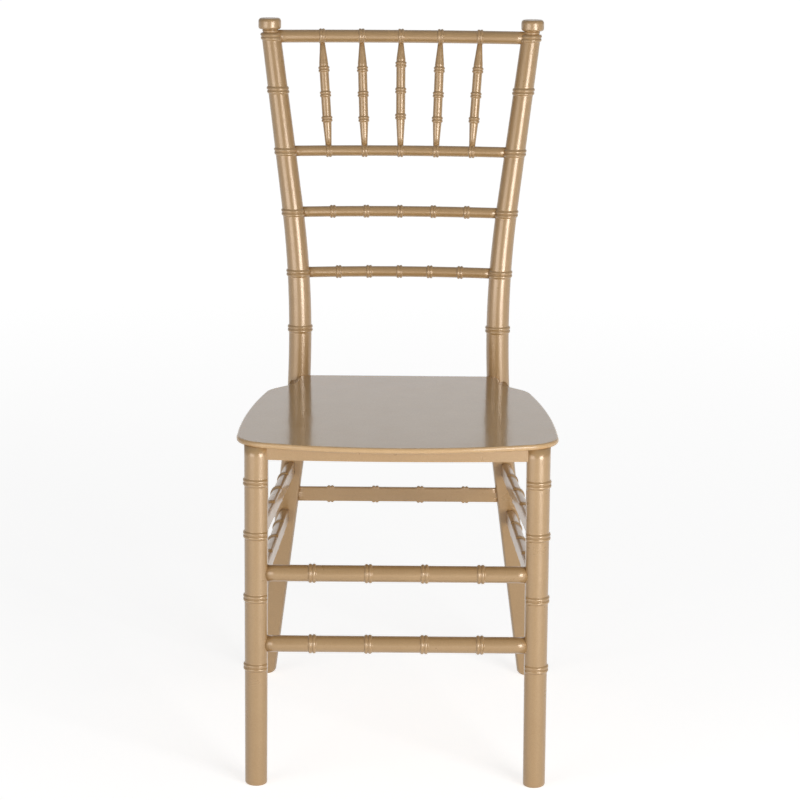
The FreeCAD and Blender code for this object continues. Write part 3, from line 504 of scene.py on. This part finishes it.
# %% Stretchers
STRETCHER_PEG = 6.0
FLATTED_PEG = 5.0
FRONT = dict(heights=dict(upper=274.0, lower=183.0), radius=10.3, pitch=69.5,
             inside_leg=2.5)
SIDE = dict(rear=dict(upper=309.0, lower=240.0), front=dict(upper=316.0, lower=251.0),
            radius=9.2, flat=4.5, inside_leg=4.5)
REAR = dict(height=270.0, radius=9.8, flat=3.5, pitch=62.0, inside_post=5.5)


def evenly(length, pitch):
    """Four rings about the middle of a member."""
    return [length / 2 + step * pitch for step in (-1.5, -0.5, 0.5, 1.5)]


def make_front_stretcher(name, height):
    """A round bar from the right leg's axis to the left one's."""
    left = leg_point(height)
    line, length = straight_line(left * [-1, 1, 1], left)
    end = (LEG["flat"] - TENON_DEPTH, LEG["flat"] - FRONT["inside_leg"], STRETCHER_PEG)
    return bar(name, line, length, (end, end),
               lambda along: np.full_like(along, FRONT["radius"]),
               evenly(length, FRONT["pitch"]))


def make_side_stretcher(name, rear_height, front_height, mirror):
    """A D section from the left post's axis to the left leg's, flat towards the inside."""
    leg = leg_point(front_height)
    line, length = straight_line(post_point(rear_height), leg)
    leg_radius = LEG["foot_radius"] + ((LEG["top_radius"] - LEG["foot_radius"])
                                       * front_height / UNDERSIDE)
    rear = (POST_FLAT["distance"] - TENON_DEPTH, POST_FLAT["distance"] - INSIDE_ROUND,
            FLATTED_PEG)
    front = (leg_radius - TENON_DEPTH, leg_radius - SIDE["inside_leg"], FLATTED_PEG)
    # the line runs forwards and side is up, so angle 0 looks out of the chair
    return bar(name, line, length, (rear, front),
               lambda along: np.full_like(along, SIDE["radius"]),
               [length * step / 5 for step in range(1, 5)], flat=SIDE["flat"],
               towards=math.pi, mirror=mirror)


def make_rear_stretcher(name):
    """A D section between the posts, flat towards the front."""
    left = post_point(REAR["height"])
    line, length = straight_line(left * [-1, 1, 1], left)
    end = (POST["radius"] - TENON_DEPTH, POST["radius"] - REAR["inside_post"], FLATTED_PEG)
    # the line runs to the left and side is up, so angle 0 looks backwards
    return bar(name, line, length, (end, end),
               lambda along: np.full_like(along, REAR["radius"]),
               evenly(length, REAR["pitch"]), flat=REAR["flat"], towards=math.pi)


for place, height in FRONT["heights"].items():
    pieces[f"front_stretcher_{place}"] = make_front_stretcher(f"front_{place}_bar", height)
    for hand, mirror in (("left", False), ("right", True)):
        pieces[f"side_stretcher_{place}_{hand}"] = make_side_stretcher(
            f"side_{place}_{hand}_bar", SIDE["rear"][place], SIDE["front"][place], mirror)
pieces["rear_stretcher"] = make_rear_stretcher("rear_bar")

for node, piece in pieces.items():
    piece_box = np.array([v.co for v in piece.data.vertices])
    reach = np.array([piece_box.min(0), piece_box.max(0)])
    frame_box = np.array(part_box(node))
    print(node, "off its CAD box by", np.round((reach - frame_box) / MM, 1).tolist(), "mm")
    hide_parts(node)
    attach(piece, "root")

# %% [markdown]
# Colours are noted as sRGB hex values, the way a colour picker shows them, and a shader wants
# linear light. One function turns them round, and another adds a node with its settings and
# what feeds it.

# %% Colours and nodes
def linear(code):
    """Each channel c of an sRGB hex colour becomes ((c + 0.055) / 1.055) ^ 2.4, and the
    darkest ones c / 12.92."""
    srgb = np.array([int(code[i:i + 2], 16) for i in (0, 2, 4)]) / 255
    bright = ((srgb + 0.055) / 1.055) ** 2.4
    return (*np.where(srgb <= 0.04045, srgb / 12.92, bright).tolist(), 1.0)


def add(tree, kind, inputs=(), **settings):
    """A node, its settings, and its inputs: each is another node's output or a value."""
    node = tree.nodes.new(kind)
    for setting, value in settings.items():
        setattr(node, setting, value)
    for socket, value in dict(inputs).items():
        if isinstance(value, bpy.types.NodeSocket):
            tree.links.new(value, node.inputs[socket])
        else:
            node.inputs[socket].default_value = value
    return node


def per_mm(size):
    """A texture's scale for features of a size in millimetres, as coordinates are metres."""
    return 1 / (size * MM)


# %% [markdown]
# The chair is moulded from resin that is coloured right through with a champagne gold pearl
# pigment. Flakes of mica in a clear plastic reflect a little like a dull metal and are seen
# through a thin glossy skin, so the shader is mostly plastic with a small share of metal,
# under a light clear coat. The seat takes no share of metal. The mould's polish leaves a faint
# waviness, which breaks up the edges of reflections.

# %% Pearl gold resin
def pearl_resin(name, colour, shade, metallic, roughness, sheen, coat, coat_roughness):
    """Polypropylene with mica pigment, injection moulded: plastic that shines a little like
    metal, under a clear skin. sheen is how strongly the plastic itself reflects."""
    material = bpy.data.materials.new(name)
    material.use_nodes = True
    tree = material.node_tree
    shader = tree.nodes["Principled BSDF"]
    place = add(tree, "ShaderNodeTexCoord").outputs["Object"]
    # flow of pigment in the mould, about 45 mm across
    flow = add(tree, "ShaderNodeTexNoise", {"Vector": place, "Scale": per_mm(45.0),
                                            "Detail": 3.0, "Roughness": 0.55})
    # mica flakes are some 0.05 mm across, drawn as 0.9 mm so that they show
    flakes = add(tree, "ShaderNodeTexVoronoi", {"Vector": place, "Scale": per_mm(0.9)})
    grey = add(tree, "ShaderNodeRGBToBW", {"Color": flakes.outputs["Color"]})
    share = add(tree, "ShaderNodeMath", {0: flow.outputs["Fac"], 1: grey.outputs[0]},
                operation="ADD")
    share = add(tree, "ShaderNodeMapRange",
                {"Value": share.outputs[0], "From Min": 0.4, "From Max": 1.6})
    tint = add(tree, "ShaderNodeMix", {"Factor": share.outputs[0]}, data_type="RGBA")
    # this node has sockets of every type under the same names, so the colour ones are sought
    dark, light = (socket for socket in tint.inputs if socket.type == "RGBA")
    dark.default_value, light.default_value = linear(shade), linear(colour)
    tinted = next(socket for socket in tint.outputs if socket.type == "RGBA")
    tree.links.new(tinted, shader.inputs["Base Color"])
    # handling polishes some patches, about 25 mm across
    handled = add(tree, "ShaderNodeTexNoise", {"Vector": place, "Scale": per_mm(25.0),
                                               "Detail": 4.0})
    rough = add(tree, "ShaderNodeMapRange",
                {"Value": handled.outputs["Fac"], "From Min": 0.3, "From Max": 0.7,
                 "To Min": roughness - 0.03, "To Max": roughness + 0.04})
    tree.links.new(rough.outputs[0], shader.inputs["Roughness"])
    # waviness of a polished mould: 6 mm long and some microns high
    wave = add(tree, "ShaderNodeTexNoise", {"Vector": place, "Scale": per_mm(6.0),
                                            "Detail": 2.0})
    bump = add(tree, "ShaderNodeBump", {"Height": wave.outputs["Fac"], "Strength": 0.5,
                                        "Distance": 0.06 * MM})
    tree.links.new(bump.outputs[0], shader.inputs["Normal"])
    shader.inputs["Metallic"].default_value = metallic
    shader.inputs["Specular IOR Level"].default_value = sheen
    shader.inputs["Coat Weight"].default_value = coat
    shader.inputs["Coat Roughness"].default_value = coat_roughness
    return material


gold = pearl_resin("pearl_gold_resin_moulded", "BB986A", "B08C5D", metallic=0.12,
                   roughness=0.3, sheen=1.0, coat=0.3, coat_roughness=0.2)
# the seat's two colours are painted light: lighter copies of the members' resin colours, for
# the light on the plate's top that the dim room overhead does not give
seat_gold_painted_light = pearl_resin("pearl_gold_resin_polished_painted_light", "DDB888", "D2AC7C", metallic=0.0,
                        roughness=0.16, sheen=0.4, coat=0.22, coat_roughness=0.05)
for piece in pieces.values():
    piece.data.materials.append(gold)
print("resin on", len(pieces), "members")

# %% [markdown]
# The seat plate, the aprons under it and the screws keep their CAD meshes, whose shapes are
# right. The plate is flat and was moulded against a polished steel face, so it is glossier
# than the members and mirrors the posts. It is the members' resin, but its colour is a
# lighter copy of theirs. That is painted light, standing in for the light on the plate's top
# that the dim room overhead leaves too dark.

# %% Finish of the seat, aprons and screws
def screw_steel():
    """Zinc plated steel, machined: a bright metal with fine turning marks."""
    material = bpy.data.materials.new("zinc_plated_steel_turned")
    material.use_nodes = True
    tree = material.node_tree
    shader = tree.nodes["Principled BSDF"]
    place = add(tree, "ShaderNodeTexCoord").outputs["Object"]
    # turning marks are 0.1 mm apart, drawn as 0.3 mm
    marks = add(tree, "ShaderNodeTexNoise", {"Vector": place, "Scale": per_mm(0.3)})
    rough = add(tree, "ShaderNodeMapRange", {"Value": marks.outputs["Fac"],
                                             "To Min": 0.22, "To Max": 0.42})
    tree.links.new(rough.outputs[0], shader.inputs["Roughness"])
    bump = add(tree, "ShaderNodeBump", {"Height": marks.outputs["Fac"], "Strength": 0.3,
                                        "Distance": 0.02 * MM})
    tree.links.new(bump.outputs[0], shader.inputs["Normal"])
    shader.inputs["Base Color"].default_value = linear("C9CBCC")
    shader.inputs["Metallic"].default_value = 1.0
    return material


finishes = {"seat": seat_gold_painted_light, "seat_screws": screw_steel()}
for node in ("front_apron", "rear_apron", "side_apron_left", "side_apron_right"):
    finishes[node] = gold
for node, finish in finishes.items():
    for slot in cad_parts[node].material_slots:
        slot.material = finish
print("CAD nodes that show:", sorted(finishes))

# %% [markdown]
# The chair was photographed on plain white, and its seat mirrors that white at a low angle.
# The floor is a wide pale sheet, and the world a room with a white backdrop behind the chair
# that is darker all round. Both shine more to the eye and to reflections than they light the
# chair, so that they read white and the floor still takes the chair's shadow.

# %% Floor and world
FLOOR_HALF = 40.0
# the floor's glow grows between these distances from the chair's middle, in metres
GLOW_FROM, GLOW_TO = 0.4, 4.0
# degrees off the line behind the chair
BACKDROP = dict(white_to=20.0, fades_out_by=45.0)
# the sine of the angle above the horizon from which the room counts as overhead
OVERHEAD = 0.6


def seen_share(tree):
    """1 for a ray from the eye, from a reflection or through glass, and 0 for the rest."""
    rays = add(tree, "ShaderNodeLightPath").outputs
    seen = add(tree, "ShaderNodeMath", {0: rays["Is Camera Ray"], 1: rays["Is Glossy Ray"]},
               operation="ADD")
    return add(tree, "ShaderNodeMath", {0: seen.outputs[0], 1: rays["Is Transmission Ray"]},
               operation="ADD", use_clamp=True).outputs[0]


def make_floor(half, glow_near, glow_far):
    """A square sheet whose edge lies beyond the camera's view. Its glow grows with the
    distance from the chair, where the lamps light it less."""
    corners = [(-half, -half, 0), (half, -half, 0), (half, half, 0), (-half, half, 0)]
    mesh = bpy.data.meshes.new("floor")
    mesh.from_pydata(corners, [], [(0, 1, 2, 3)])
    floor = bpy.data.objects.new("floor", mesh)
    bpy.context.scene.collection.objects.link(floor)
    material = bpy.data.materials.new("white_paper_floor")
    material.use_nodes = True
    tree = material.node_tree
    shader = tree.nodes["Principled BSDF"]
    shader.inputs["Base Color"].default_value = linear("EDEDED")
    shader.inputs["Roughness"].default_value = 0.9
    shader.inputs["Specular IOR Level"].default_value = 0.0
    shader.inputs["Emission Color"].default_value = (1, 1, 1, 1)
    place = add(tree, "ShaderNodeTexCoord").outputs["Object"]
    distance = add(tree, "ShaderNodeVectorMath", {0: place}, operation="LENGTH")
    glow = add(tree, "ShaderNodeMapRange",
               {"Value": distance.outputs["Value"], "From Min": GLOW_FROM, "From Max": GLOW_TO,
                "To Min": glow_near, "To Max": glow_far})
    shine = add(tree, "ShaderNodeMath", {0: seen_share(tree), 1: glow.outputs[0]},
                operation="MULTIPLY")
    tree.links.new(shine.outputs[0], shader.inputs["Emission Strength"])
    mesh.materials.append(material)
    return floor


def make_world(lighting, seen_behind, seen_around):
    """A plain room: its light on the chair, low down and overhead, and how bright it looks,
    behind the chair where the white backdrop hangs and all round."""
    world = bpy.data.worlds.new("pale_room")
    bpy.context.scene.world = world
    world.use_nodes = True
    tree = world.node_tree
    direction = add(tree, "ShaderNodeTexCoord").outputs["Generated"]
    parts = add(tree, "ShaderNodeSeparateXYZ", {"Vector": direction}).outputs
    light = add(tree, "ShaderNodeMapRange",
                {"Value": parts["Z"], "From Min": 0.0, "From Max": OVERHEAD,
                 "To Min": lighting[0], "To Max": lighting[1]})
    look = add(tree, "ShaderNodeMapRange",
               {"Value": parts["Y"],
                "From Min": math.cos(math.radians(BACKDROP["fades_out_by"])),
                "From Max": math.cos(math.radians(BACKDROP["white_to"])),
                "To Min": seen_around, "To Max": seen_behind})
    strength = add(tree, "ShaderNodeMapRange", {"Value": seen_share(tree),
                                                "To Min": light.outputs[0],
                                                "To Max": look.outputs[0]})
    tree.links.new(strength.outputs[0], tree.nodes["Background"].inputs["Strength"])
    tree.nodes["Background"].inputs["Color"].default_value = (1, 1, 1, 1)


floor = make_floor(FLOOR_HALF, glow_near=0.72, glow_far=0.88)
make_world(lighting=(0.36, 0.14), seen_behind=1.0, seen_around=0.45)
print("floor half width:", FLOOR_HALF, "m")

# %% [markdown]
# Two wide soft lamps stand in front of the chair, one on each side of the camera. Each draws
# one upright highlight on a post, and where it falls across the post gives the lamp's angle:
# at a share t of the width the surface has turned by asin(2t - 1), and the light comes from
# twice that angle. The right one is the brighter.

# %% Lamps
def soft_lamp(name, across, distance, height, size, power):
    """A wide lamp at an angle from the camera's side of the chair, looking level at it."""
    lamp = bpy.data.lights.new(name, "AREA")
    lamp.shape = "RECTANGLE"
    lamp.size, lamp.size_y = size
    lamp.energy = power
    holder = bpy.data.objects.new(name, lamp)
    bpy.context.scene.collection.objects.link(holder)
    turn = math.radians(across)
    holder.location = (distance * math.sin(turn), -distance * math.cos(turn), height)
    holder.rotation_euler = (math.pi / 2, 0, turn)
    return holder


def lamp_angle(share):
    """Twice asin(2 share - 1), in degrees."""
    return 2 * math.degrees(math.asin(2 * share - 1))


LAMPS = dict(left_lamp=dict(share=0.32, size=(2.2, 1.4), power=25.0),
             right_lamp=dict(share=0.64, size=(1.5, 1.4), power=60.0))
LAMP_DISTANCE = 3.2
LAMP_HEIGHT = 0.7
for name, lamp in LAMPS.items():
    across = lamp_angle(lamp["share"])
    soft_lamp(name, across, LAMP_DISTANCE, LAMP_HEIGHT, lamp["size"], lamp["power"])
    print(name, "at", round(across, 1), "degrees")

# %% [markdown]
# The camera stands where the photographer's did: in front, a little over a metre up, with a
# long lens. Its numbers came from fitting a pinhole camera to points of the photograph.

# %% Camera
CAMERA = dict(place=(0.0068, -3.3734, 1.2050), focal=119.92, sensor=36.0,
              yaw=-0.0013, pitch=0.2206, roll=-0.0075)


def aim(yaw, pitch, roll):
    """The camera's right, up and backward directions, as the columns of its matrix."""
    ahead = np.array([math.sin(yaw) * math.cos(pitch), math.cos(yaw) * math.cos(pitch),
                      -math.sin(pitch)])
    level = np.array([math.cos(yaw), -math.sin(yaw), 0.0])
    upward = np.cross(level, ahead)
    right = math.cos(roll) * level - math.sin(roll) * upward
    up = math.sin(roll) * level + math.cos(roll) * upward
    return np.stack([right, up, -ahead], axis=1)


camera = bpy.data.objects.new("camera", bpy.data.cameras.new("camera"))
bpy.context.scene.collection.objects.link(camera)
bpy.context.scene.camera = camera
camera.data.lens = CAMERA["focal"]
camera.data.sensor_width = CAMERA["sensor"]
matrix = np.eye(4)
matrix[:3, :3] = aim(CAMERA["yaw"], CAMERA["pitch"], CAMERA["roll"])
matrix[:3, 3] = CAMERA["place"]
camera.matrix_world = Matrix(matrix.tolist())
bpy.context.scene.view_settings.view_transform = "Standard"
print("camera", CAMERA["place"])
